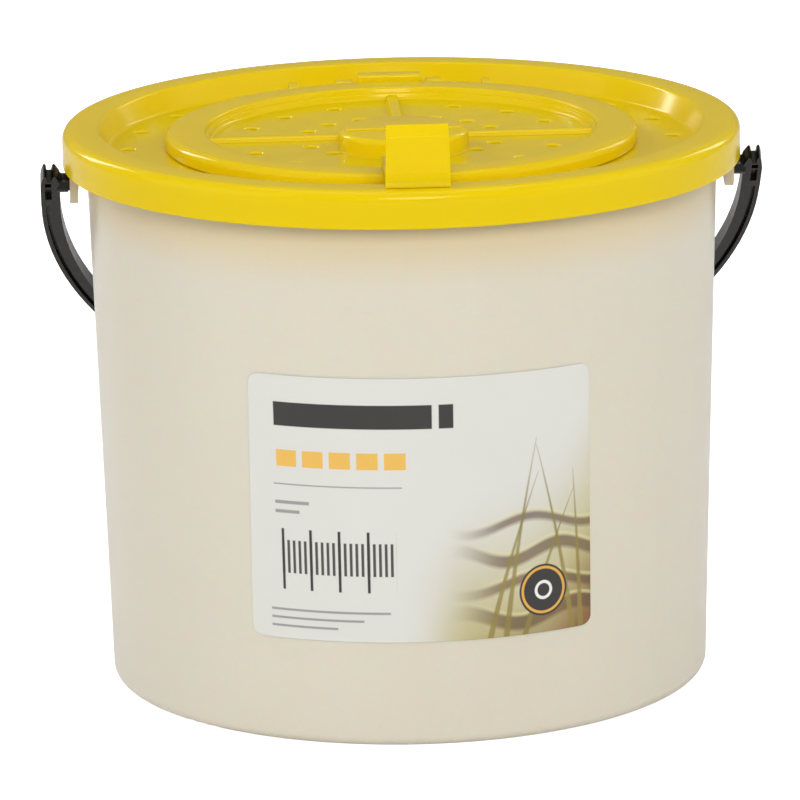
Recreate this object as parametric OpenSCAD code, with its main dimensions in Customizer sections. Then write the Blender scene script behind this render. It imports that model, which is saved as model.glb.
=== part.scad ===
// Round bait pail with a press-on ventilated lid, a hinged hatch and a swinging handle.
// Millimetres, +Z up. The origin is the centre of the pail's base, and the thumb tab faces -Y.

/* [Pail] */
// Outer radius of the wall at the base
pail_base_r = 90.5; // [70:0.1:120]
// Outward lean of the wall, per millimetre of height
pail_taper = 0.027; // [0.01:0.001:0.05]
// Height from the base to the top of the rim
pail_h = 166.9; // [120:0.1:260]
// Thickness of the wall
pail_wall = 1.6; // [1:0.1:3]
// Thickness of the floor
floor_t = 2; // [1.2:0.1:4]
// Height of the foot ring under the floor
foot_h = 1.5; // [0.8:0.1:4]
// Width of the foot ring's flat face
foot_w = 7; // [4:0.5:15]
// Radius of the rounded edge at the base
base_round = 3; // [1:0.5:5]

/* [Rim and ears] */
// Overhang of the rim beyond the wall
rim_out = 4.4; // [3:0.05:6]
// Thickness of the rim's flange and of its hanging skirt
rim_t = 1.8; // [1.2:0.1:2.4]
// Height of the rim's hanging skirt
rim_drop = 8.4; // [5:0.1:9]
// Width of each ear
ear_w = 13; // [13:0.5:40]
// Length of each ear below the top of the rim
ear_len = 20.5; // [19:0.1:28]
// Radius of each ear's lower corners
ear_round = 6.4; // [1:0.1:6.4]
// Thickness that each ear gains outside the rim's skirt, below the lid
ear_pad = 0.6; // [0.2:0.1:1]
// Depth of the handle's pivot axis below the top of the rim
pivot_drop = 14.2; // [13.6:0.1:15.4]

/* [Lid] */
// Wall thickness of the lid
lid_t = 1.8; // [1.2:0.1:2.4]
// Gap between the pail's rim and the lid's skirt
skirt_gap = 0.6; // [0.3:0.1:1]
// Gap between the top of the rim and the lid that sits on it
seat_gap = 0.3; // [0.1:0.1:0.5]
// Height of the lid's outer skirt
skirt_h = 11.2; // [9:0.1:12]
// Radius of the lid's rounded outer edge
deck_round = 3; // [2:0.25:4]
// Width of the deck between the outer edge and the well
deck_w = 11.1; // [9.6:0.1:14]
// Depth of the well below the deck
well_depth = 6.7; // [5.5:0.1:9]
// Inward lean of the well's wall over its depth
well_lean = 2.9; // [1:0.1:4]
// Radius of the well's rounded lip
lip_round = 1.8; // [1:0.1:2.4]

/* [Vents] */
// Radius of the vent holes
vent_r = 2.15; // [1.5:0.05:2.6]
// Vent holes around the well
well_vents = 20; // [8:1:24]
// Distance of the ring of vent holes from the wall of the well
well_vent_inset = 5.8; // [4:0.1:8]
// Radius of the hatch's outer ring of vent holes
outer_vent_ring = 48; // [44:0.5:50]
// Radius of the hatch's inner ring of vent holes
inner_vent_ring = 29.8; // [26:0.1:34]
// Angle between neighbouring vent holes in the hatch
hatch_vent_step = 22.5; // [15:7.5:45]

/* [Hatch] */
// Width of the hatch's flange, from the lip of its bowl to its outer edge
flange_w = 11.9; // [10.8:0.1:14]
// Wall thickness of the hatch
hatch_t = 1.6; // [1:0.1:2.4]
// Radius of the hatch's rounded outer edge
hatch_round = 3; // [2:0.25:4]
// Depth of the hatch's flange below the lid's deck
flange_drop = 1.6; // [1:0.1:2]
// Radius of the lip of the hatch's bowl
bowl_r = 59; // [54:0.1:61]
// Depth of the bowl below the flange
bowl_depth = 3.5; // [2.5:0.1:4]
// Radius of the fillet between the bowl's wall and its floor
bowl_fillet = 1.8; // [1:0.1:2.4]
// Running clearance of the hatch above and inside the lid
hatch_gap = 0.3; // [0.2:0.05:0.5]
// Width of the hatch's ribs
rib_w = 3.2; // [2:0.1:5]
// Height of the hatch's ribs
rib_h = 1.3; // [0.6:0.1:2]
// Radius of the hatch's round boss
boss_r = 19.4; // [14:0.1:20]
// Distance of the boss from the middle, towards the thumb tab
boss_offset = 15; // [10:0.5:20]
// Height of the boss above the lid's deck
boss_rise = 0.7; // [0:0.1:2]
// Radius of the boss's rounded edge
boss_round = 1.6; // [1:0.1:2]
// Height of the thin ridge across the boss
ridge_h = 0.5; // [0.3:0.1:1]
// Width of the thin ridge across the boss
ridge_w = 0.8; // [0.6:0.1:2]
// Distance of the ridge from the middle of the boss, towards the thumb tab
ridge_offset = 1.5; // [0:0.1:4]

/* [Lid opening] */
// Gap between the hatch's bowl and the collar around the lid's opening
collar_gap = 1.6; // [1:0.1:2]
// Thickness of the collar
collar_t = 1.8; // [1.2:0.1:2.4]

/* [Hatch hinge] */
// Width of the hatch's hinge block
block_w = 19.4; // [14:0.1:24]
// Length of the block's flat top
block_len = 5.2; // [4:0.1:6]
// Distance of the hinge axis behind the hatch's edge
axis_back = 4.1; // [3.8:0.1:4.6]
// Height of the hinge axis above the floor of the well
axis_h = 2.6; // [2.4:0.1:2.8]
// Radius of the hinge barrel
barrel_r = 2.2; // [1.8:0.1:2.3]
// Radius of the hinge's stub pins
hinge_pin_r = 1; // [0.8:0.05:1.2]
// Running clearance around the hinge's stub pins
hinge_clear = 0.05; // [0.02:0.01:0.1]
// Width of each hinge lug
lug_w = 5; // [3:0.1:7]
// Gap between the block and each lug
lug_gap = 1.7; // [0.5:0.1:2.5]
// Length of each lug, front to back
lug_len = 5.2; // [4.4:0.1:6]
// Height of the lugs and posts
lug_h = 4.5; // [4.3:0.1:5]
// Width of each locating post
post_w = 2.5; // [2:0.1:4]
// Length of each locating post, front to back
post_len = 9; // [5:0.5:10]
// Sideways place of each locating post
post_x = 30; // [26:0.5:32]

/* [Thumb tab] */
// Width of the tab and its arm
tab_w = 18.7; // [14:0.1:24]
// Width of the tab at its top
tab_top_w = 17.9; // [12:0.1:22]
// Height of the tab above the lid's deck
tab_h = 18.2; // [12:0.1:26]
// Height of the tab's leaning top
tab_lean_h = 3.1; // [2:0.1:5]
// Thickness of the tab
tab_t = 2.2; // [1.5:0.1:3]
// Distance of the tab's front face inside the lid's edge
tab_inset = 4.8; // [4:0.1:7]
// Thickness of the arm
arm_t = 2; // [1.4:0.1:3]
// Thickness of the arm's side webs
arm_web = 1.5; // [1:0.1:2]

/* [Handle] */
// Gap between the lid and the handle's inner face
bail_gap = 1.1; // [0.4:0.05:1.5]
// Width of the handle's section, in the handle's plane
bail_w = 5.8; // [5:0.1:9]
// Depth of the handle's section, across the handle's plane
bail_d = 4.7; // [4:0.1:8]
// Angle below the horizontal at which the handle rests on the wall
bail_rest = 44; // [40:0.5:50]
// Gap between the resting handle and the wall
bail_rest_gap = 0.3; // [0.2:0.1:0.5]
// Length of the straight leg beyond the pivot axis
bail_leg = 9; // [8:0.5:12]
// Centreline radius of the handle's middle arc
bail_mid_r = 93; // [88:0.5:98]
// Length of the prongs behind the pivot axis
prong_len = 7.2; // [6.6:0.1:10]
// Radius of the handle's pivot pins
pivot_r = 2.45; // [2:0.05:3.2]
// Running clearance around the pivot pins
pivot_clear = 0.05; // [0.02:0.01:0.1]

/* [Label] */
// Width of the label, measured straight across
label_w = 99.4; // [60:0.2:120]
// Height of the label
label_h = 79.8; // [50:0.2:90]
// Height of the label's lower edge above the base
label_z = 32.2; // [20:0.2:50]
// Radius of the label's corners
label_round = 3; // [1:0.5:8]
// Thickness of the label
label_t = 0.25; // [0.15:0.05:0.4]

/* [Hidden] */
$fn = 160;

yellow = "#E6C528";
cream = "#DCD3BE";
black = "#1E1E1F";
white = "#E9EAE6";

// Cutters reach this far past what they cut
cut = 1;
// Air between the label and the wall
skin_gap = 0.1;

// Pail
function wall_r(z) = pail_base_r + pail_taper * z;
rim_r = wall_r(pail_h) + rim_out;
pivot_z = pail_h - pivot_drop;
ear_out_r = rim_r + ear_pad;
ear_in_r = rim_r - rim_t;

// Lid
lid_r = rim_r + skirt_gap + lid_t;
deck_z = pail_h + seat_gap + lid_t;
skirt_z = deck_z - skirt_h;
well_top_r = lid_r - deck_w;
well_floor_r = well_top_r - well_lean;
well_z = deck_z - well_depth;
well_vent_ring = well_floor_r - well_vent_inset;

// Hatch
hatch_r = bowl_r + flange_w;
boss_z = deck_z + boss_rise;
flange_z = deck_z - flange_drop;
bowl_z = flange_z - bowl_depth;
bowl_lean = bowl_depth * 0.4;
bowl_floor_r = bowl_r - bowl_lean;
hatch_foot_z = well_z + hatch_gap;
collar_in_r = bowl_r + hatch_t + collar_gap;
collar_z = flange_z - hatch_t - hatch_gap;

// Hinge
axis_y = hatch_r + axis_back;
axis_z = well_z + axis_h;
lug_x = block_w / 2 + lug_gap;
lug_z = well_z + lug_h;
pin_end_x = lug_x + lug_w - 0.5;
post_y = sqrt(pow(hatch_r, 2) - pow(post_x - post_w / 2, 2)) + 1;

// Thumb tab
tab_y = lid_r - tab_inset;
arm_z = deck_z + hatch_gap;
arm_start = bowl_r + 3;

// Handle
bail_in_x = lid_r + bail_gap;
bail_x = bail_in_x + bail_w / 2;
notch_depth = 3.4;
arm_w = bail_w - 0.1;
arm_d = bail_d - 0.1;
rest_reach = (pail_base_r + pail_taper * (pivot_z - bail_d / 2 * cos(bail_rest)) + bail_rest_gap
    + bail_d / 2 * sin(bail_rest)) / (cos(bail_rest) + pail_taper * sin(bail_rest));
bail_len = rest_reach + bail_w / 2 - bail_leg;
bail_side_r = (pow(bail_x, 2) + pow(bail_len, 2) - 2 * bail_len * bail_mid_r)
    / (2 * (bail_x - bail_mid_r));
bail_turn = atan2(bail_len - bail_mid_r, bail_side_r - bail_x);

// A block lying along X, drawn by its outline in Y and Z
module across_x(width) {
    rotate([90, 0, 90]) translate([0, 0, -width / 2]) linear_extrude(width) children();
}

// A prism running back from the front face, drawn by its outline in X and Z
module towards_front(from_y, to_y) {
    translate([0, -from_y, 0]) rotate([90, 0, 0]) linear_extrude(to_y - from_y) children();
}

// A rectangle from one corner to the opposite one
module area(x0, y0, x1, y1) {
    translate([x0, y0]) square([x1 - x0, y1 - y0]);
}

// A rectangle whose upper right corner is rounded
module area_round_top(x0, y0, x1, y1, r) {
    difference() {
        area(x0, y0, x1, y1);
        difference() {
            area(x1 - r, y1 - r, x1 + cut, y1 + cut);
            translate([x1 - r, y1 - r]) circle(r);
        }
    }
}

// A rectangle centred on X with four rounded corners, from y0 upwards
module area_round(w, y0, h, r) {
    area(-w / 2 + r, y0, w / 2 - r, y0 + h);
    area(-w / 2, y0 + r, w / 2, y0 + h - r);
    for (x = [-w / 2 + r, w / 2 - r], y = [y0 + r, y0 + h - r])
        translate([x, y]) circle(r);
}

// The rounded edge on the left of a plate whose top is at z, with a foot that a wall below joins
module lip(x, z, r) {
    intersection() {
        translate([x + r, z - r]) circle(r);
        union() {
            area(x - cut, z - r, x + r + 0.2, z + cut);
            area(x - cut, z - r - 0.2, x + r / 2, z + cut);
        }
    }
}

// The fillet between a floor below and a wall on the right
module fillet(x, y, r) {
    difference() {
        area(x - r, y, x, y + r);
        translate([x - r, y + r]) circle(r);
    }
}

module wall_profile() {
    difference() {
        union() {
            polygon([
                [0, 0], [pail_base_r - base_round, 0], [wall_r(base_round), base_round],
                [wall_r(pail_h), pail_h], [0, pail_h]
            ]);
            translate([wall_r(base_round) - base_round, base_round]) circle(base_round);
        }
        polygon([
            [-cut, foot_h + floor_t],
            [wall_r(foot_h + floor_t) - pail_wall, foot_h + floor_t],
            [wall_r(pail_h + cut) - pail_wall, pail_h + cut],
            [-cut, pail_h + cut]
        ]);
        area(-cut, -cut, wall_r(0) - base_round - foot_w, foot_h);
    }
}

module rim_profile() {
    difference() {
        area_round_top(wall_r(pail_h) - pail_wall, pail_h - rim_drop, rim_r, pail_h, rim_t / 2);
        area(0, pail_h - rim_drop - cut, rim_r - rim_t, pail_h - rim_t);
    }
}

// The two ears, cut from a ring under the rim's skirt that is thicker below the lid
module ears() {
    difference() {
        intersection() {
            rotate_extrude() {
                area(ear_in_r, pail_h - ear_len, rim_r, pail_h - rim_t);
                area(ear_in_r, pail_h - ear_len, ear_out_r, skirt_z - skirt_gap / 2);
            }
            across_ears();
        }
        rotate([0, 90, 0]) translate([-pivot_z, 0, -ear_out_r - cut])
            cylinder(r = pivot_r + pivot_clear, h = 2 * (ear_out_r + cut));
    }
}

module across_ears() {
    across_x(2 * (ear_out_r + cut)) area_round(ear_w, pail_h - ear_len, ear_len + ear_round, ear_round);
}

module pail() {
    color(cream) {
        rotate_extrude() {
            wall_profile();
            rim_profile();
        }
        ears();
    }
}

module lid_profile() {
    // Skirt and deck
    difference() {
        area_round_top(well_top_r + lip_round, skirt_z, lid_r, deck_z, deck_round);
        area_round_top(0, skirt_z - cut, lid_r - lid_t, deck_z - lid_t, deck_round - lid_t);
    }
    // Rounded lip and leaning wall of the well
    lip(well_top_r, deck_z, lip_round);
    polygon([
        [well_floor_r, well_z - lid_t], [well_floor_r, well_z], [well_top_r, deck_z - lip_round],
        [well_top_r + lid_t, deck_z - lip_round], [well_floor_r + lid_t, well_z - lid_t]
    ]);
    fillet(well_floor_r + 0.2, well_z, 1.2);
    // Floor of the well, and the collar around the opening
    area(collar_in_r, well_z - lid_t, well_floor_r + lid_t, well_z);
    area(collar_in_r, well_z - lid_t, collar_in_r + collar_t, collar_z);
}

module lug() {
    difference() {
        translate([lug_x, axis_y - lug_len / 2, well_z - lid_t / 2])
            cube([lug_w, lug_len, lug_h + lid_t / 2]);
        translate([lug_x - cut, axis_y, axis_z]) rotate([0, 90, 0])
            cylinder(r = hinge_pin_r + hinge_clear, h = lug_w + 2 * cut);
    }
}

module post() {
    translate([post_x - post_w / 2, post_y, well_z - lid_t / 2])
        cube([post_w, post_len, lug_h + lid_t / 2]);
}

module both_sides() {
    children();
    mirror([1, 0, 0]) children();
}

module lid() {
    color(yellow) {
        difference() {
            rotate_extrude() lid_profile();
            for (i = [0 : well_vents - 1])
                rotate([0, 0, i * 360 / well_vents])
                    translate([well_vent_ring, 0, well_z - lid_t - cut])
                        cylinder(r = vent_r, h = lid_t + 2 * cut);
        }
        both_sides() {
            lug();
            post();
        }
    }
}

module hatch_profile() {
    // Skirt and flange
    difference() {
        area_round_top(bowl_r + hatch_t, hatch_foot_z, hatch_r, flange_z, hatch_round);
        area_round_top(0, hatch_foot_z - cut, hatch_r - hatch_t, flange_z - hatch_t,
            hatch_round - hatch_t);
    }
    // Rounded lip, leaning wall and floor of the bowl
    lip(bowl_r, flange_z, hatch_t);
    polygon([
        [bowl_floor_r, bowl_z - hatch_t], [bowl_floor_r, bowl_z], [bowl_r, flange_z - hatch_t],
        [bowl_r + hatch_t, flange_z - hatch_t], [bowl_floor_r + hatch_t, bowl_z - hatch_t]
    ]);
    fillet(bowl_floor_r + 0.3, bowl_z, bowl_fillet);
    area(0, bowl_z - hatch_t, bowl_floor_r + hatch_t / 2, bowl_z);
}

module boss() {
    translate([0, -boss_offset, 0]) rotate_extrude()
        area_round_top(0, bowl_z - hatch_t, boss_r, boss_z, boss_round);
}

module boss_hollow() {
    translate([0, -boss_offset, bowl_z - hatch_t - cut])
        cylinder(r = boss_r - hatch_t, h = boss_z - bowl_z + cut);
}

module ridge() {
    reach = sqrt(pow(boss_r - boss_round, 2) - pow(ridge_offset + ridge_w / 2, 2)) - 0.4;
    translate([-reach, -boss_offset - ridge_offset - ridge_w / 2, boss_z - hatch_t / 2])
        cube([2 * reach, ridge_w, hatch_t / 2 + ridge_h]);
}

module ribs() {
    translate([-bowl_floor_r, -rib_w / 2, bowl_z - hatch_t / 2])
        cube([2 * bowl_floor_r, rib_w, rib_h + hatch_t / 2]);
    translate([-rib_w / 2, -bowl_floor_r, bowl_z - hatch_t / 2])
        cube([rib_w, 2 * bowl_floor_r, rib_h + hatch_t / 2]);
}

// A ring of vent holes that skips the ribs and what stands on the boss
module hatch_vents(ring) {
    for (a = [hatch_vent_step : hatch_vent_step : 360 - hatch_vent_step])
        let (x = ring * cos(a), y = ring * sin(a))
            if (min(abs(x), abs(y)) > rib_w / 2 + vent_r
                && norm([x, y + boss_offset]) > boss_r + vent_r)
                translate([x, y, bowl_z - hatch_t - cut]) cylinder(r = vent_r, h = hatch_t + 2 * cut);
}

module hinge_block() {
    across_x(block_w) {
        area(hatch_r - hatch_t / 2, axis_z - barrel_r, axis_y, deck_z);
        area(axis_y - cut, axis_z, hatch_r + block_len, deck_z);
        translate([axis_y, axis_z]) circle(barrel_r);
    }
    translate([-pin_end_x, axis_y, axis_z]) rotate([0, 90, 0])
        cylinder(r = hinge_pin_r, h = 2 * pin_end_x);
}

// The arm that bridges from the flange over the deck
module arm() {
    across_x(tab_w) {
        area(-tab_y, arm_z, -arm_start, arm_z + arm_t);
        area(-arm_start - hatch_t, flange_z - hatch_t / 2, -arm_start, arm_z + arm_t);
    }
    for (side = [-1, 1])
        translate([side * (tab_w - arm_web) / 2, 0, 0]) across_x(arm_web)
            area(-well_floor_r + 2, well_z + 3, -hatch_r + hatch_t / 2, arm_z + arm_t);
    for (side = [-1, 1])
        translate([side * (tab_w - arm_web) / 2, 0, 0]) across_x(arm_web)
            area(-hatch_r + hatch_t / 2, flange_z - hatch_t / 2, -arm_start, arm_z + arm_t);
}

// The upright tab: a flared foot, a straight face and a top that leans back
module tab() {
    top_z = deck_z + tab_h;
    step_z = top_z - tab_lean_h;
    lean = tab_lean_h / 2;
    intersection() {
        across_x(tab_w) polygon([
            [-tab_y - 1.9, arm_z], [-tab_y - 1.9, arm_z + 0.7], [-tab_y - 0.5, arm_z + 1.7],
            [-tab_y, arm_z + 3], [-tab_y, step_z], [-tab_y + 0.5, step_z + 0.1],
            [-tab_y + 0.5 + lean, top_z], [-tab_y + 0.3 + lean + tab_t * 0.7, top_z - 0.4],
            [-tab_y + tab_t, step_z - 0.6], [-tab_y + tab_t, arm_z]
        ]);
        towards_front(tab_y - 3 * tab_t, tab_y + 3 * tab_t) polygon([
            [-tab_w / 2, arm_z - cut], [tab_w / 2, arm_z - cut], [tab_w / 2, arm_z + arm_t],
            [tab_top_w / 2, top_z + cut], [-tab_top_w / 2, top_z + cut], [-tab_w / 2, arm_z + arm_t]
        ]);
    }
}

module hatch() {
    color(yellow) {
        difference() {
            union() {
                rotate_extrude() hatch_profile();
                ribs();
                boss();
            }
            boss_hollow();
            hatch_vents(outer_vent_ring);
            hatch_vents(inner_vent_ring);
        }
        ridge();
        hinge_block();
        arm();
        tab();
    }
}

// Section of the arms: width in X, depth in Y, with grooves in both faces
module arm_section() {
    difference() {
        area(-arm_w / 2, -arm_d / 2, arm_w / 2, arm_d / 2);
        for (face = [0, 1]) mirror([0, face]) {
            area(-0.08 * arm_w, arm_d / 2 - 0.4, 0.1 * arm_w, arm_d / 2 + cut);
            area(0.09 * arm_w, arm_d / 2 - 1.6, 0.27 * arm_w, arm_d / 2 + cut);
        }
    }
}

// The long side arc, a hair thinner than the fork and the grip that its ends run into
module bail_arm() {
    translate([bail_x - bail_side_r, bail_leg, 0]) rotate([0, 0, -0.3])
        rotate_extrude(angle = bail_turn + 0.3)
            translate([bail_side_r, 0]) arm_section();
}

// The plain grip in the middle
module bail_grip() {
    translate([0, bail_leg + bail_len - bail_mid_r, 0]) rotate([0, 0, bail_turn - 0.5])
        rotate_extrude(angle = 181 - 2 * bail_turn)
            area(bail_mid_r - bail_w / 2, -bail_d / 2, bail_mid_r + bail_w / 2, bail_d / 2);
}

// Outline of the forked end and the straight leg, with the inner side to the left
module fork_outline() {
    inner = -bail_w / 2;
    outer = bail_w / 2;
    tip = -prong_len;
    notch = tip + notch_depth;
    polygon([
        [inner, bail_leg], [inner, notch + 0.6], [inner + 1.3, tip + 0.5], [inner + 1.8, tip + 0.2],
        [inner + 2.2, tip + 1.1], [inner + 2.6, notch], [outer - 2, notch],
        [outer - 1.8, tip + 0.8], [outer - 1.4, tip], [outer - 1, tip + 0.2],
        [outer - 0.4, tip + 2.6], [outer, tip + 6], [outer, bail_leg]
    ]);
}

// The forked end, with pockets between cross rungs in both faces
module bail_fork() {
    first = -prong_len + notch_depth;
    rungs = [first, first + 2.7, first + 9.6];
    rung_t = 0.7;
    pocket_depth = bail_d / 2 - 0.7;
    difference() {
        translate([bail_x, 0, -bail_d / 2]) linear_extrude(bail_d) fork_outline();
        for (face = [0, 1], i = [0 : len(rungs) - 2])
            mirror([0, 0, face])
                translate([bail_x - 0.06 * bail_w, rungs[i] + rung_t, bail_d / 2 - pocket_depth])
                    cube([0.33 * bail_w, rungs[i + 1] - rungs[i] - rung_t, pocket_depth + cut]);
    }
}

// Pivot pin, shoulder and the gusset that braces the inner prong
module bail_pivot() {
    shoulder_r = pivot_r + 0.45;
    shoulder_x = ear_out_r + 0.35;
    shoulder_end = bail_in_x + 0.8;
    pin_end = ear_in_r - 0.3;
    translate([pin_end, 0, 0]) rotate([0, 90, 0]) cylinder(r = pivot_r, h = bail_in_x - pin_end);
    translate([shoulder_x, 0, 0]) rotate([0, 90, 0])
        cylinder(r = shoulder_r, h = shoulder_end - shoulder_x);
    translate([0, 0, -1.5]) linear_extrude(3) polygon([
        [shoulder_x + 0.2, -0.3], [bail_in_x + 1, -0.3],
        [bail_in_x + 1, -prong_len + notch_depth - 0.9], [bail_in_x, -prong_len + notch_depth]
    ]);
}

module bail() {
    color(black)
        translate([0, 0, pivot_z]) rotate([-bail_rest, 0, 0]) {
            bail_grip();
            both_sides() {
                bail_arm();
                bail_fork();
                bail_pivot();
            }
        }
}

module label() {
    color(white)
        intersection() {
            rotate_extrude() polygon([
                [wall_r(0) + skin_gap, 0], [wall_r(0) + skin_gap + label_t, 0],
                [wall_r(pail_h) + skin_gap + label_t, pail_h], [wall_r(pail_h) + skin_gap, pail_h]
            ]);
            towards_front(pail_base_r / 3, rim_r) area_round(label_w, label_z, label_h, label_round);
        }
}

pail();
lid();
hatch();
bail();
label();
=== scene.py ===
"""Looks of a round bait pail with a ventilated lid, a hinged hatch and a swinging handle."""
import math

import bmesh
import bpy
from mathutils import Matrix, Vector

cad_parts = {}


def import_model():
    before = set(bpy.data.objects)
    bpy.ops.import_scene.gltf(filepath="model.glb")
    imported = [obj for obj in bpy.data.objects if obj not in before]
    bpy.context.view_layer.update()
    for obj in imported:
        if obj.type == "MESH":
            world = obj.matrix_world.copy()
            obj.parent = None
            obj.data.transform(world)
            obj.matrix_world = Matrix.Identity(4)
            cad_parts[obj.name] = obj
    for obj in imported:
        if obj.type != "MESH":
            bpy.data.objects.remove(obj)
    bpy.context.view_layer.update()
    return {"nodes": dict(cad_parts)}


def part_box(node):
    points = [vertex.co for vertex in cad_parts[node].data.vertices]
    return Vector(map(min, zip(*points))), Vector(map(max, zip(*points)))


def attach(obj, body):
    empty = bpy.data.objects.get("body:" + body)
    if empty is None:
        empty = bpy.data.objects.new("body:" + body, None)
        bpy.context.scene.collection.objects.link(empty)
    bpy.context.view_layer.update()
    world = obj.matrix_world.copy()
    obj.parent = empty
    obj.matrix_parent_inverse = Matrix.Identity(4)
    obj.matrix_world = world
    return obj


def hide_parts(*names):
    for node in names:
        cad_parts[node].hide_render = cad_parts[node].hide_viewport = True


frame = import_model()
scene = bpy.context.scene
MM = 0.001

# Most of a noise texture's values lie between these two
NOISE_LOW, NOISE_HIGH = 0.3, 0.7


# ---------------------------------------------------------------- node trees
class Graph:
    """The nodes of a material or of the world, with short calls for the kinds used here."""

    def __init__(self, owner, shader="Principled BSDF"):
        owner.use_nodes = True
        self.owner = owner
        self.tree = owner.node_tree
        self.shader = self.tree.nodes[shader]

    def node(self, kind, **settings):
        made = self.tree.nodes.new(kind)
        for key, value in settings.items():
            setattr(made, key, value)
        return made

    def put(self, socket, value):
        """Sets an input to a number or a colour, or links it to an output."""
        if isinstance(value, Ex):
            value = value.socket
        if isinstance(value, bpy.types.NodeSocket):
            self.tree.links.new(value, socket)
        else:
            socket.default_value = value

    def set(self, **values):
        """Sets inputs of the shader, named with _ in place of spaces."""
        for name, value in values.items():
            self.put(self.shader.inputs[name.replace("_", " ")], value)

    def math(self, operation, *values):
        made = self.node("ShaderNodeMath", operation=operation)
        for socket, value in zip(made.inputs, values):
            self.put(socket, value)
        return Ex(self, made.outputs[0])

    def object_xyz(self):
        """The coordinates as they are, and each of the three as a number."""
        coords = self.node("ShaderNodeTexCoord").outputs["Object"]
        split = self.node("ShaderNodeSeparateXYZ")
        self.put(split.inputs[0], coords)
        return coords, [Ex(self, out) for out in split.outputs]

    def noise(self, vector, scale, detail, stretch=(1, 1, 1)):
        mapping = self.node("ShaderNodeMapping")
        self.put(mapping.inputs["Vector"], vector)
        self.put(mapping.inputs["Scale"], stretch)
        made = self.node("ShaderNodeTexNoise")
        self.put(made.inputs["Vector"], mapping.outputs[0])
        self.put(made.inputs["Scale"], scale)
        self.put(made.inputs["Detail"], detail)
        return Ex(self, made.outputs["Fac"])

    def span(self, value, low, high, to_low=0.0, to_high=1.0, smooth=False):
        """The value carried from low..high to to_low..to_high, and held at both ends."""
        made = self.node("ShaderNodeMapRange")
        made.interpolation_type = "SMOOTHSTEP" if smooth else "LINEAR"
        for socket, v in zip(made.inputs, (value, low, high, to_low, to_high)):
            self.put(socket, v)
        return Ex(self, made.outputs[0])

    def uneven(self, vector, scale, detail, low, high):
        """A number that varies between low and high with a noise."""
        return self.span(self.noise(vector, scale, detail), NOISE_LOW, NOISE_HIGH, low, high)

    def blend(self, share, first, second):
        made = self.node("ShaderNodeMix", data_type="RGBA")
        factor, colour_a, colour_b = made.inputs[0], made.inputs[6], made.inputs[7]
        for socket, v in ((factor, share), (colour_a, first), (colour_b, second)):
            self.put(socket, v)
        return made.outputs[2]

    def bump(self, height, distance, strength):
        made = self.node("ShaderNodeBump")
        self.put(made.inputs["Height"], height)
        self.put(made.inputs["Distance"], distance)
        self.put(made.inputs["Strength"], strength)
        self.put(self.shader.inputs["Normal"], made.outputs[0])

    def join(self, joint, first, second):
        """Shows two shaders together, in place of the first alone."""
        self.put(joint.inputs[-2], first.outputs[0])
        self.put(joint.inputs[-1], second.outputs[0])
        self.put(self.tree.nodes["Material Output"].inputs["Surface"], joint.outputs[0])

    def see_through(self, colour, share):
        """Lets a share of the light pass diffusely through the wall."""
        through = self.node("ShaderNodeBsdfTranslucent")
        self.put(through.inputs["Color"], colour)
        mix = self.node("ShaderNodeMixShader")
        self.put(mix.inputs[0], share)
        self.join(mix, self.shader, through)

    def glow(self, strength):
        """Adds light of its own to the surface."""
        light = self.node("ShaderNodeEmission")
        self.put(light.inputs["Strength"], strength)
        self.join(self.node("ShaderNodeAddShader"), self.shader, light)

    def by_ray(self, seen, mirrored, other):
        """A number for camera rays, one for glossy and transmission rays, and one for the rest."""
        paths = self.node("ShaderNodeLightPath").outputs
        either = self.math("MAXIMUM", paths["Is Glossy Ray"], paths["Is Transmission Ray"])
        unseen = self.span(either, 0, 1, other, mirrored)
        return self.span(paths["Is Camera Ray"], 0, 1, unseen, seen)


class Ex:
    """A number in a node tree that can be added, subtracted, multiplied and divided."""

    def __init__(self, graph, socket):
        self.graph, self.socket = graph, socket

    def __add__(self, other): return self.graph.math("ADD", self, other)
    def __sub__(self, other): return self.graph.math("SUBTRACT", self, other)
    def __mul__(self, other): return self.graph.math("MULTIPLY", self, other)
    def __truediv__(self, other): return self.graph.math("DIVIDE", self, other)


def srgb(r, g, b):
    """A colour given in 0-255 display values, as linear light."""
    def linear(c):
        c /= 255
        return c / 12.92 if c <= 0.04045 else ((c + 0.055) / 1.055) ** 2.4
    return (linear(r), linear(g), linear(b), 1.0)


# ---------------------------------------------------------------- materials
def yellow_plastic():
    g = Graph(bpy.data.materials.new("yellow_plastic"))
    coords, _ = g.object_xyz()
    g.set(Base_Color=g.blend(g.noise(coords, 18, 2), srgb(247, 219, 14), srgb(245, 215, 10)))
    g.set(Roughness=g.uneven(coords, 60, 4, 0.15, 0.22))
    g.set(IOR=1.42, Specular_IOR_Level=0.3, Specular_Tint=(1.0, 0.92, 0.6, 1.0))
    g.set(Subsurface_Weight=0.25, Subsurface_Scale=0.002, Subsurface_Radius=(1.0, 0.92, 0.4))
    g.see_through(srgb(250, 232, 80), 0.26)
    g.bump(g.noise(coords, 900, 2), 0.00002, 0.25)
    return g.owner


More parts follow.
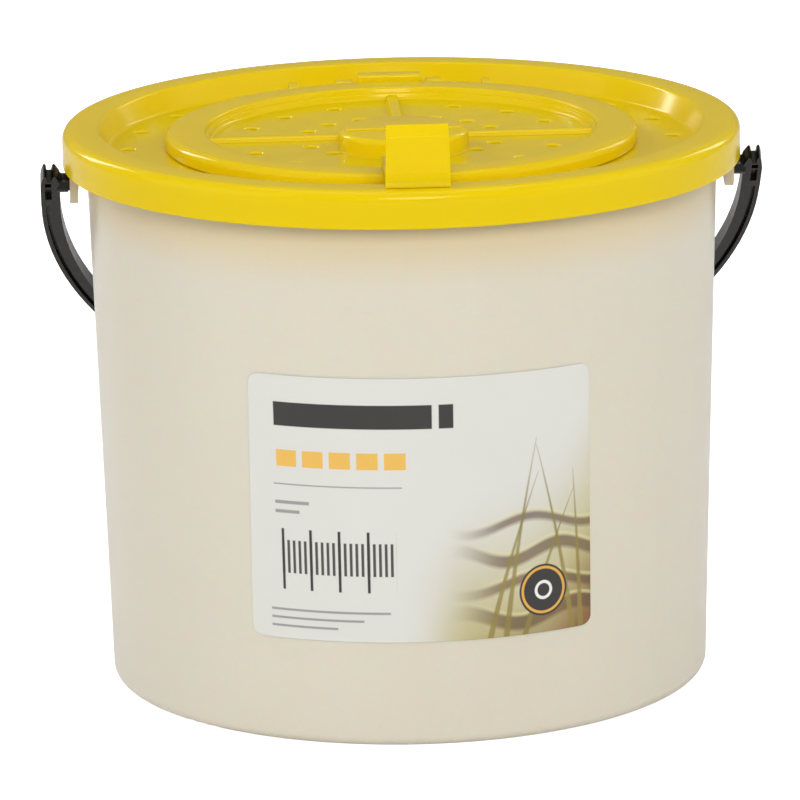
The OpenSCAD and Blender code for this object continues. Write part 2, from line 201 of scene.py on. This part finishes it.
def cream_plastic():
    g = Graph(bpy.data.materials.new("cream_plastic"))
    coords, (_, _, z) = g.object_xyz()
    streaks = g.noise(coords, 40, 3, stretch=(1, 1, 0.04))
    tone = g.blend(g.noise(coords, 9, 3), srgb(231, 224, 207), srgb(225, 216, 197))
    tone = g.blend(g.span(streaks, 0.35, 0.65, 0.0, 0.25), tone, srgb(232, 226, 210))
    # Painted shade and painted yellow bounce light from the lid's skirt: a little darker and warmer
    # just under it
    lid_bounce_shade = g.span(z, 0.136, 0.156, 0.0, 0.6, smooth=True)
    tone = g.blend(lid_bounce_shade * g.span(z, 0.157, 0.16, 1, 0, smooth=True), tone, srgb(224, 200, 140))
    g.set(Base_Color=tone, Roughness=g.uneven(coords, 80, 4, 0.28, 0.36))
    g.set(IOR=1.45, Subsurface_Weight=0.3, Subsurface_Scale=0.003)
    g.see_through(srgb(232, 220, 190), 0.12)
    g.bump(g.noise(coords, 300, 3), 0.00004, 0.3)
    return g.owner


def black_plastic():
    g = Graph(bpy.data.materials.new("black_plastic"))
    coords, _ = g.object_xyz()
    g.set(Base_Color=g.blend(g.noise(coords, 120, 3), srgb(6, 5, 4), srgb(11, 9, 7)))
    g.set(Roughness=g.uneven(coords, 400, 3, 0.26, 0.36))
    g.set(Specular_IOR_Level=0.26, Specular_Tint=(1.0, 0.92, 0.84, 1.0))
    g.bump(g.noise(coords, 1500, 2), 0.00003, 0.4)
    return g.owner


def label_film():
    """White film with plain bars, ticks, ripples and a ringed disc, laid out in millimetres."""
    g = Graph(bpy.data.materials.new("label_film"))
    coords, (x, y, z) = g.object_xyz()
    low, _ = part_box("label")
    wall_radius = -low.y / MM
    # Across runs along the wall from the label's middle, and up from its lower edge
    across = g.math("ARCTAN2", x, y * -1) * wall_radius
    up = (z - low.z) / MM
    print_edge = 0.12

    def inside(value, lo, hi, soft=print_edge):
        """1 from lo to hi, with soft ends."""
        return g.span(value, lo - soft, lo + soft) * g.span(value, hi - soft, hi + soft, 1, 0)

    def bar(left, lower, right, upper):
        return inside(across, left, right) * inside(up, lower, upper)

    def every(value, pitch, share):
        """1 on the first share of each pitch."""
        return inside(g.math("WRAP", value, pitch, 0.0), 0.0, pitch * share)

    def wave(rate, shift, size):
        return g.math("SINE", across * rate + shift) * size

    tone = g.blend(g.noise(coords, 30, 3), srgb(220, 219, 212), srgb(216, 215, 208))

    # The picture: shallow water that fades in from the upper left
    depth = across * 0.8 - up + wave(0.11, 0.6, 5)
    water = g.span(depth, -30, 22, smooth=True) * g.span(across, -8, 14, smooth=True)
    murk = g.noise(coords, 55, 5)
    shallows = g.blend(murk, srgb(206, 198, 150), srgb(172, 160, 104))
    deep = g.blend(murk, srgb(150, 104, 52), srgb(98, 62, 34))
    tone = g.blend(water, tone, shallows)
    tone = g.blend(g.span(depth, 6, 44, smooth=True) * water, tone, deep)
    # Ripples, each with its height, the rate of its waves and half its thickness
    for level, rate, thick in ((34, 0.16, 1.3), (25, 0.19, 1.9), (15.5, 0.14, 1.5), (6, 0.17, 2.2)):
        crest = up - wave(rate, level, 2.2) - level
        ripple = inside(crest, -thick, thick, 0.7) * g.span(across, 6, 26, smooth=True)
        tone = g.blend(ripple * 0.75, tone, g.blend(murk, srgb(120, 84, 44), srgb(60, 44, 30)))
        shine = inside(crest, thick, thick + 0.9, 0.4) * g.span(across, 10, 30, smooth=True)
        tone = g.blend(shine * 0.6, tone, srgb(222, 214, 160))
    # Reeds, each with the place of its foot, its lean and its height
    foot_width, sway, tip = 0.95, 0.006, 1
    reeds = ((20, 0.24, 50), (25, 0.12, 60), (31, 0.3, 44), (47, -0.16, 58), (50, -0.05, 49))
    for foot, lean, tall in reeds:
        centre = across - foot - up * lean - up * up * (lean * sway)
        width = g.span(up, 0, tall, foot_width, 0.0)
        reed = g.span(g.math("ABSOLUTE", centre) - width, -0.25, 0.25, 1, 0)
        reed = reed * g.span(up, tall - tip, tall, 1, 0)
        tone = g.blend(reed * 0.85, tone, g.blend(murk, srgb(164, 142, 62), srgb(112, 104, 50)))

    # Printed marks on the white side: a title bar, a row of squares, rules and a scale
    dark, grey = srgb(44, 42, 40), srgb(150, 152, 150)
    squares_left, square_pitch, scale_left, tick_pitch = -44, 8.2, -43, 1.75
    title = ((-44.4, 64.6, 3.0, 71.8), (5.0, 64.6, 9.3, 71.8))
    rules = ((-45, 46.8, -6, 47.2), (-44.7, 41.0, -34, 42.0), (-44.7, 38.2, -37, 39.2),
             (-47, 8.45, -10, 9.15), (-47, 5.95, -18, 6.65), (-47, 3.45, -26, 4.15))
    for bars, ink in ((title, dark), (rules, grey)):
        for edges in bars:
            tone = g.blend(bar(*edges), tone, ink)
    squares = bar(squares_left, 52.4, -4, 57.4) * every(across - squares_left, square_pitch, 0.78)
    tone = g.blend(squares, tone, srgb(232, 184, 84))
    ticks = bar(scale_left, 20, -8, 30) * every(across - scale_left, tick_pitch, 0.5)
    tone = g.blend(ticks, tone, srgb(70, 66, 66))
    long_ticks = bar(scale_left, 15, -8, 33.5) * every(across - scale_left, 5 * tick_pitch, 0.1)
    tone = g.blend(long_ticks, tone, dark)

    # The disc with its ring
    disc_x, disc_up = 37, 13
    off = g.math("SQRT", g.math("POWER", across - disc_x, 2.0) + g.math("POWER", up - disc_up, 2.0))
    tone = g.blend(g.span(off, 7.7, 8.0, 1, 0), tone, dark)
    tone = g.blend(inside(off, 6.4, 7.2), tone, srgb(224, 168, 70))
    tone = g.blend(inside(off, 2.0, 2.9), tone, srgb(236, 236, 230))

    g.set(Base_Color=tone, Roughness=g.uneven(coords, 90, 3, 0.3, 0.4))
    g.bump(g.noise(coords, 250, 2), 0.00002, 0.3)
    return g.owner


def wear(obj, material):
    obj.data.materials.clear()
    obj.data.materials.append(material)


# ---------------------------------------------------------------- mesh building, in millimetres
CORNER_SHARE = 0.49     # the most of an edge that the rounding of one corner takes
SHARP_ANGLE = 32        # edges sharper than this, in degrees, stay sharp
WELD = 1e-5             # points nearer than this are joined
CUT_PAST = 1            # how far a vent's cutter passes the wall on both sides
RING_STEPS, BOSS_STEPS, VENT_STEPS = 288, 160, 48
VENT_R, VENT_CHAMFER = 2.15, 0.45


def around(radius, degrees, centre=(0, 0)):
    """The point at a radius from the centre and an angle from the first axis."""
    angle = math.radians(degrees)
    return centre[0] + radius * math.cos(angle), centre[1] + radius * math.sin(angle)


def arc(u, v, radius, start, end, steps=8):
    """Points on an arc about (u, v), with angles in degrees."""
    return [around(radius, start + (end - start) * i / steps, (u, v)) for i in range(steps + 1)]


def rounded(corners, steps=6):
    """A closed outline from corners (u, v, radius), each rounded by its own radius."""
    out = []
    points = [Vector(corner[:2]) for corner in corners]
    for i, here in enumerate(points):
        radius = corners[i][2]
        if radius <= 0:
            out.append(tuple(here))
            continue
        before, after = points[i - 1] - here, points[(i + 1) % len(points)] - here
        half = before.angle(after) / 2
        shorter = min(before.length, after.length)
        reach = min(radius / math.tan(half), shorter * CORNER_SHARE)
        radius = reach * math.tan(half)
        inward = (before.normalized() + after.normalized()).normalized()
        middle = here + inward * radius / math.sin(half)
        first = here + before.normalized() * reach - middle
        last = here + after.normalized() * reach - middle
        sweep = first.angle_signed(last)
        for k in range(steps + 1):
            out.append(tuple(middle + Matrix.Rotation(-sweep * k / steps, 2) @ first))
    return out


def oblong(u0, v0, u1, v1, top=0):
    """A rectangle's outline. Its two upper corners are rounded by the radius top."""
    return rounded([(u0, v0, 0), (u1, v0, 0), (u1, v1, top), (u0, v1, top)])


class Builder:
    """Collects shapes in one mesh."""

    def __init__(self):
        self.mesh = bmesh.new()

    def revolve(self, outline, segments, centre=(0, 0)):
        """A ring from a closed outline of radius and height. Radius 0 gives one shared point."""
        rings = []
        for r, z in outline:
            if abs(r) < WELD:
                rings.append([self.mesh.verts.new((*centre, z))] * segments)
            else:
                turns = [around(r, 360 * i / segments, centre) for i in range(segments)]
                rings.append([self.mesh.verts.new((x, y, z)) for x, y in turns])
        for k, low in enumerate(rings):
            high = rings[(k + 1) % len(rings)]
            for i in range(segments):
                j = (i + 1) % segments
                corners = list(dict.fromkeys((low[i], low[j], high[j], high[i])))
                if len(corners) > 2:
                    self.mesh.faces.new(corners)

    def prism(self, outline, low, high, soft=0.0, along="X"):
        """An outline of Y and Z pushed along X, or of X and Z along Y, with softened ends."""
        put = (lambda u, v, w: (w, u, v)) if along == "X" else (lambda u, v, w: (u, w, v))
        first = [self.mesh.verts.new(put(u, v, low)) for u, v in outline]
        second = [self.mesh.verts.new(put(u, v, high)) for u, v in outline]
        faces = [self.mesh.faces.new(first), self.mesh.faces.new(second)]
        for i in range(len(outline)):
            j = (i + 1) % len(outline)
            faces.append(self.mesh.faces.new((first[i], first[j], second[j], second[i])))
        if soft > 0:
            rim = [e for f in faces[:2] for e in f.edges]
            bmesh.ops.bevel(self.mesh, geom=rim, offset=soft, segments=4, profile=0.5,
                            affect="EDGES", clamp_overlap=True)

    def pair(self, outline, inner, outer, soft):
        """A prism on each side of the middle, from inner to outer along X."""
        self.prism(outline, -outer, -inner, soft)
        self.prism(outline, inner, outer, soft)

    def finish(self, name, material=None, sharp=SHARP_ANGLE):
        """A smooth object in metres. Edges sharper than the angle stay sharp."""
        bmesh.ops.remove_doubles(self.mesh, verts=self.mesh.verts, dist=WELD)
        bmesh.ops.recalc_face_normals(self.mesh, faces=self.mesh.faces)
        bmesh.ops.scale(self.mesh, vec=(MM, MM, MM), verts=self.mesh.verts)
        data = bpy.data.meshes.new(name)
        self.mesh.to_mesh(data)
        self.mesh.free()
        data.shade_smooth()
        data.set_sharp_from_angle(angle=math.radians(sharp))
        obj = bpy.data.objects.new(name, data)
        scene.collection.objects.link(obj)
        if material:
            obj.data.materials.append(material)
        return obj

    def pierced(self, vents, under_z, top_z):
        """A new builder: this mesh with vents through a wall, each chamfered at the wall's top."""
        low, high, wide_r = under_z - CUT_PAST, top_z + CUT_PAST, VENT_R + VENT_CHAMFER
        tool = Builder()
        for place in vents:
            tool.revolve([(0, low), (VENT_R, low), (VENT_R, top_z - VENT_CHAMFER), (wide_r, top_z),
                          (wide_r, high), (0, high)], VENT_STEPS, place)
        solid, cutter = self.finish("solid"), tool.finish("cutter")
        cut = solid.modifiers.new("vents", "BOOLEAN")
        cut.operation, cut.solver, cut.object = "DIFFERENCE", "EXACT", cutter
        bpy.context.view_layer.update()
        shape = solid.evaluated_get(bpy.context.evaluated_depsgraph_get())
        out = Builder()
        out.mesh.from_mesh(bpy.data.meshes.new_from_object(shape))
        bmesh.ops.scale(out.mesh, vec=(1 / MM, 1 / MM, 1 / MM), verts=out.mesh.verts)
        bpy.data.objects.remove(solid)
        bpy.data.objects.remove(cutter)
        return out


def stand_for(obj, node, body):
    """Puts the object in the place of a solid."""
    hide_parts(node)
    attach(obj, body)


# ---------------------------------------------------------------- lid and hatch
# R is a radius from the pail's axis, Z a height over its base, T a wall's thickness
LID_R, LID_T = 101.81, 1.8
SKIRT_Z, DECK_Z = 157.8, 169.0
WELL_Z, WELL_TOP_R, WELL_FLOOR_R = 162.3, 90.71, 87.81
COLLAR_R, COLLAR_Z = 62.2, 165.5
WELL_VENTS, WELL_VENTS_R = 20, 82
POST_FOOT_Z, POST_TOP_Z = 161.4, 166.8

HATCH_R, HATCH_T, HATCH_FOOT_Z = 70.9, 1.6, 162.6
FLANGE_Z, BOWL_Z, BOWL_R, BOWL_FLOOR_R = 167.4, 163.9, 59.0, 57.6
BOWL_VENTS, BOWL_VENTS_R = 16, (48.0, 29.8)
BOSS_R, BOSS_Y, BOSS_Z = 19.4, -15.0, 169.7
BOSS_FOOT_FILLET, BOSS_EDGE = 0.35, 1.6
RIB_HALF, RIB_HIGH = 1.6, 1.3
AXIS_Y, AXIS_Z, PIN_R, PIN_END_X = 75.0, 164.9, 1.0, 15.9

ARM_Z, ARM_T, ARM_INNER_Y, ARM_HALF = DECK_Z + 0.3, 2, -62.0, 8.9
WEB_HALF, WEB_INNER_X = 8.8, 7.4
TAB_Y, TAB_STEP_Z, TAB_TOP_Z = -(LID_R - 4.8), DECK_Z + 15.1, DECK_Z + 18.2
TAB_HALF, TAB_TOP_HALF = 9.35, 8.95

SINK = 0.6      # how far the boss and the ribs reach into the bowl's floor


def lid_piece(material):
    under_deck_z, under_well_z = DECK_Z - LID_T, WELL_Z - LID_T
    ring = Builder()
    ring.revolve(rounded([
        (LID_R, SKIRT_Z, 0.5), (LID_R, DECK_Z, 3.0),
        (WELL_TOP_R, DECK_Z, 1.3), (WELL_FLOOR_R, WELL_Z, 1.4),
        (COLLAR_R + LID_T, WELL_Z, 0.5), (COLLAR_R + LID_T, COLLAR_Z, 0.5),
        (COLLAR_R, COLLAR_Z, 0.5), (COLLAR_R, under_well_z, 0.3),
        (WELL_FLOOR_R + LID_T, under_well_z, 0.5), (WELL_TOP_R + LID_T, under_deck_z, 0.4),
        (LID_R - LID_T, under_deck_z, 1.2), (LID_R - LID_T, SKIRT_Z, 0.4)], 8), RING_STEPS)
    vents = [around(WELL_VENTS_R, 360 / WELL_VENTS * i) for i in range(WELL_VENTS)]
    b = ring.pierced(vents, under_well_z, WELL_Z)

    # Hinge lugs, and locating posts just outside the hatch's flange
    lug_half_y, lug_inner_x, lug_outer_x = 2.6, 11.4, 16.4
    post_length, post_inner_x, post_outer_x = 9, 28.75, 31.25
    gap = 1
    post_y = math.sqrt(HATCH_R ** 2 - post_inner_x ** 2) + gap
    lug = oblong(AXIS_Y - lug_half_y, POST_FOOT_Z, AXIS_Y + lug_half_y, POST_TOP_Z, top=0.9)
    post = oblong(post_y, POST_FOOT_Z, post_y + post_length, POST_TOP_Z, top=0.9)
    b.pair(lug, lug_inner_x, lug_outer_x, soft=0.35)
    b.pair(post, post_inner_x, post_outer_x, soft=0.35)
    return b.finish("lid_shell", material)


def bowl_vents():
    """Places for vents in the bowl's floor, on two rings, clear of the ribs and of the boss."""
    out = []
    for ring in BOWL_VENTS_R:
        for i in range(BOWL_VENTS):
            x, y = around(ring, 360 / BOWL_VENTS * i)
            clear_of_ribs = min(abs(x), abs(y)) > RIB_HALF + VENT_R
            clear_of_boss = math.hypot(x, y - BOSS_Y) > BOSS_R + VENT_R
            if clear_of_ribs and clear_of_boss:
                out.append((x, y))
    return out


def hatch_piece(material):
    under_flange_z, under_bowl_z = FLANGE_Z - HATCH_T, BOWL_Z - HATCH_T
    dish = Builder()
    dish.revolve(rounded([
        (HATCH_R, HATCH_FOOT_Z, 0.4), (HATCH_R, FLANGE_Z, 3.0), (BOWL_R, FLANGE_Z, 0.8),
        # A small step halfway down the bowl's wall
        (BOWL_R - 0.4, FLANGE_Z - 1.6, 0.25), (BOWL_FLOOR_R + 0.1, FLANGE_Z - 1.75, 0.35),
        (BOWL_FLOOR_R - 0.4, BOWL_Z, 1.2), (0, BOWL_Z, 0), (0, under_bowl_z, 0),
        (BOWL_FLOOR_R + 1.2, under_bowl_z, 0.6), (BOWL_R + HATCH_T, under_flange_z, 0.4),
        (HATCH_R - HATCH_T, under_flange_z, 1.4),
        (HATCH_R - HATCH_T, HATCH_FOOT_Z, 0.4)], 8), RING_STEPS)
    b = dish.pierced(bowl_vents(), under_bowl_z, BOWL_Z)
    boss_and_ribs(b)
    hinge_block(b)
    arm(b)
    thumb_tab(b)
    return b.finish("hatch_shell", material, 34)


def boss_and_ribs(b):
    """The boss with a filleted foot, its ridge, and the crossed ribs."""
    foot_r = BOSS_R + BOSS_FOOT_FILLET
    b.revolve([(0, BOWL_Z - SINK), (foot_r, BOWL_Z - SINK)]
              + arc(foot_r, BOWL_Z + BOSS_FOOT_FILLET, BOSS_FOOT_FILLET, -90, -180)
              + arc(BOSS_R - BOSS_EDGE, BOSS_Z - BOSS_EDGE, BOSS_EDGE, 0, 90)
              + [(0, BOSS_Z)], BOSS_STEPS, (0, BOSS_Y))
    ridge_end_x = 17.2
    ridge = oblong(BOSS_Y - 1.9, BOSS_Z - 0.5, BOSS_Y - 1.1, BOSS_Z + 0.5, top=0.3)
    b.prism(ridge, -ridge_end_x, ridge_end_x, soft=0.2)
    # Half of a rib's section, from its flared foot to its top
    half = [(RIB_HALF + 1.0, BOWL_Z - SINK, 0), (RIB_HALF + 0.6, BOWL_Z, 0.3),
            (RIB_HALF, BOWL_Z + 0.3, 0.4), (RIB_HALF, BOWL_Z + RIB_HIGH, 0.5)]
    rib = rounded(half + [(-u, v, radius) for u, v, radius in reversed(half)], 4)
    rib_end = BOWL_FLOOR_R + 0.4
    b.prism(rib, -rib_end, rib_end)
    b.prism(rib, -rib_end, rib_end, along="Y")


def hinge_block(b):
    """The block behind the flange, with the two stub pins as one bar through it."""
    inner_y, outer_y, half_x = HATCH_R - 0.8, HATCH_R + 5.2, 9.7
    block = rounded([(inner_y, AXIS_Z - 2.2, 0), (AXIS_Y, AXIS_Z - 2.2, 1.8),
                     (outer_y, AXIS_Z - 1.2, 1.2), (outer_y, DECK_Z, 0.7), (inner_y, DECK_Z, 0.7)])
    b.prism(block, -half_x, half_x, soft=0.5)
    pin = [around(PIN_R, a, (AXIS_Y, AXIS_Z)) for a in range(0, 360, 15)]
    b.prism(pin, -PIN_END_X, PIN_END_X)


def arm(b):
    """The arm over the deck, with webs down to the flange and into the well."""
    plate = rounded([(TAB_Y, ARM_Z, 0), (ARM_INNER_Y, ARM_Z, 0),
                     (ARM_INNER_Y, ARM_Z + ARM_T, 0.6), (TAB_Y, ARM_Z + ARM_T, 0)])
    b.prism(plate, -ARM_HALF, ARM_HALF, soft=0.45)
    # One web across the arm's inner end, and one along each side, lower outside the flange
    flange_y, end_y = -HATCH_R + 0.8, ARM_INNER_Y - 0.1
    in_flange_z, web_top_z = FLANGE_Z - 0.5, ARM_Z + 1.6
    across = oblong(end_y - 1.3, in_flange_z, end_y, web_top_z)
    in_well = oblong(-WELL_FLOOR_R + 2, WELL_Z + 3, flange_y, web_top_z)
    on_flange = oblong(flange_y, in_flange_z, end_y, web_top_z)
    b.prism(across, -WEB_HALF, WEB_HALF, soft=0.2)
    b.pair(in_well, WEB_INNER_X, WEB_HALF, soft=0.3)
    b.pair(on_flange, WEB_INNER_X, WEB_HALF, soft=0.3)


def thumb_tab(b):
    """The upright tab: flared foot, straight face, and a narrower top that leans back."""
    section = rounded([
        (TAB_Y - 0.6, ARM_Z - 0.2, 0.1), (TAB_Y - 0.6, ARM_Z + 0.3, 0.2),
        (TAB_Y - 0.3, ARM_Z + 1.6, 1.6), (TAB_Y, ARM_Z + 4.0, 3.0),
        (TAB_Y, TAB_STEP_Z, 0.25), (TAB_Y + 0.5, TAB_STEP_Z + 0.1, 0.1),
        (TAB_Y + 2.05, TAB_TOP_Z, 0.35), (TAB_Y + 3.39, TAB_TOP_Z - 0.4, 0.4),
        (TAB_Y + 2.2, TAB_STEP_Z - 0.6, 0.8), (TAB_Y + 2.2, ARM_Z, 0)])
    before = set(b.mesh.verts)
    b.prism(section, -TAB_HALF, TAB_HALF, soft=0.4)
    foot_z = ARM_Z + ARM_T
    for v in set(b.mesh.verts) - before:
        share = min(1.0, max(0.0, (v.co.z - foot_z) / (TAB_TOP_Z - foot_z)))
        v.co.x *= 1 - share * (1 - TAB_TOP_HALF / TAB_HALF)


yellow = yellow_plastic()
nodes = frame["nodes"]
wear(nodes["pail"], cream_plastic())
wear(nodes["bail"], black_plastic())
wear(nodes["label"], label_film())
stand_for(lid_piece(yellow), "lid", "lid")
stand_for(hatch_piece(yellow), "hatch", "hatch")


# ---------------------------------------------------------------- camera
def turned(degrees, axis):
    return Matrix.Rotation(math.radians(degrees), 3, axis)


def camera():
    """Looks down 14 degrees at the front, a little off to the side, and leans 1 degree."""
    rise, distance, aim_z = math.radians(13.924), 2.0, 0.085
    focal_px, image_px, sensor_mm = 6587.745, 800, 36.0
    heading = turned(-2.75, "Z")
    place = Vector((0, -distance * math.cos(rise), distance * math.sin(rise) + aim_z))
    axes = heading @ turned(0.051, "Z") @ turned(-13.997, "X") @ turned(0.998, "Y")
    right, forward, up = axes.col[0], axes.col[1], axes.col[2]
    data = bpy.data.cameras.new("camera")
    data.sensor_width = sensor_mm
    data.lens = sensor_mm * focal_px / image_px
    data.clip_start, data.clip_end = 0.1, 30
    obj = bpy.data.objects.new("camera", data)
    scene.collection.objects.link(obj)
    facing = Matrix((right, up, -forward)).transposed()
    obj.matrix_world = Matrix.Translation(heading @ place) @ facing.to_4x4()
    scene.camera = obj


# ---------------------------------------------------------------- light and floor
AIM = (0, 0, 0.1)
SOFTBOXES = (   # name, place, width, height, watts
    ("front", (0.1, -2.35, 1.35), 0.9, 1.0, 36),
    ("left", (-1.7, -0.6, 0.8), 1.8, 2.0, 15),
    ("right", (1.7, -0.4, 0.8), 1.8, 2.0, 13.5),
    ("above", (0, 0.1, 2.0), 1.6, 1.2, 11),
    ("rear_left", (-1.35, 1.4, 1.0), 0.16, 0.9, 12),
    ("rear_right", (1.35, 1.4, 1.0), 0.16, 0.9, 5),
)


def softbox(name, place, width, height, watts):
    data = bpy.data.lights.new(name, "AREA")
    data.shape = "RECTANGLE"
    data.size, data.size_y = width, height
    data.energy = watts
    obj = bpy.data.objects.new(name, data)
    scene.collection.objects.link(obj)
    obj.location = place
    obj.rotation_mode = "QUATERNION"
    obj.rotation_quaternion = (Vector(AIM) - Vector(place)).to_track_quat("-Z", "Y")


def world():
    """White to the camera, and dimmer as a light on the object."""
    g = Graph(bpy.data.worlds.new("world"), "Background")
    g.set(Color=(1, 1, 1, 1), Strength=g.by_ray(1.0, 0.3, 0.11))
    scene.world = g.owner


def floor():
    """Light grey, lifted to white for the camera, so that it keeps the object's shadow."""
    bpy.ops.mesh.primitive_plane_add(size=14, location=(0, 0, 0))
    obj = bpy.context.object
    obj.name = "floor"
    g = Graph(bpy.data.materials.new("floor"))
    g.set(Base_Color=(0.8, 0.8, 0.8, 1), Roughness=0.9)
    g.glow(g.by_ray(0.8, 0.25, 0))
    obj.data.materials.append(g.owner)


camera()
world()
floor()
for box in SOFTBOXES:
    softbox(*box)

scene.view_settings.view_transform = "Standard"
